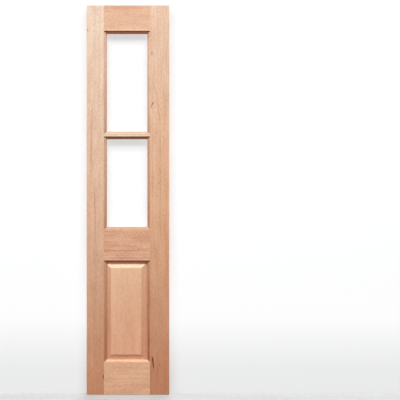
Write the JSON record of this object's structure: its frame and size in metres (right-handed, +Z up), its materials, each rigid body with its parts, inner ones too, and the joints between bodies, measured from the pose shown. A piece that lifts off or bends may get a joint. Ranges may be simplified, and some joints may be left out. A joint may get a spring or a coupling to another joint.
{
  "type": "door sidelight",
  "caption": "Narrow hardwood door sidelight with open glazed lights, slim glazing bar, lock rail and a raised and fielded bottom panel in mitred mouldings.",
  "frame": {"origin": "middle of the bottom edge face, halfway across the width and through the thickness", "axes": "+X to the right seen from the front, +Y through the thickness towards the bead side at the back, +Z up"},
  "size_m": [0.43, 0.044, 2.032],
  "materials": {
    "left_stile_wood": "bare planed and sanded hardwood, matt",
    "right_stile_wood": "bare planed and sanded hardwood, matt",
    "top_rail_wood": "bare planed and sanded hardwood, matt",
    "glazing_bar_wood": "bare planed and sanded hardwood, matt",
    "mid_rail_wood": "bare planed and sanded hardwood, matt",
    "bottom_rail_wood": "bare planed and sanded hardwood, matt",
    "panel_wood": "bare planed and sanded hardwood, matt",
    "bead_wood": "bare planed and sanded hardwood, matt",
    "wedge_wood": "bare planed and sanded hardwood, matt"
  },
  "bodies": {
    "root": {"left_stile": "left_stile_wood", "right_stile": "right_stile_wood", "top_rail": "top_rail_wood", "glazing_bar": "glazing_bar_wood", "mid_rail": "mid_rail_wood", "bottom_rail": "bottom_rail_wood", "panel": "panel_wood", "upper_light_left_bead": "bead_wood", "upper_light_right_bead": "bead_wood", "upper_light_bottom_bead": "bead_wood", "upper_light_top_bead": "bead_wood", "lower_light_left_bead": "bead_wood", "lower_light_right_bead": "bead_wood", "lower_light_bottom_bead": "bead_wood", "lower_light_top_bead": "bead_wood", "top_rail_left_lower_wedge": "wedge_wood", "top_rail_left_upper_wedge": "wedge_wood", "top_rail_right_lower_wedge": "wedge_wood", "top_rail_right_upper_wedge": "wedge_wood", "mid_rail_left_lower_wedge": "wedge_wood", "mid_rail_left_upper_wedge": "wedge_wood", "mid_rail_right_lower_wedge": "wedge_wood", "mid_rail_right_upper_wedge": "wedge_wood", "bottom_rail_left_lower_wedge": "wedge_wood", "bottom_rail_left_upper_wedge": "wedge_wood", "bottom_rail_right_lower_wedge": "wedge_wood", "bottom_rail_right_upper_wedge": "wedge_wood"}
  },
  "joints": []
}
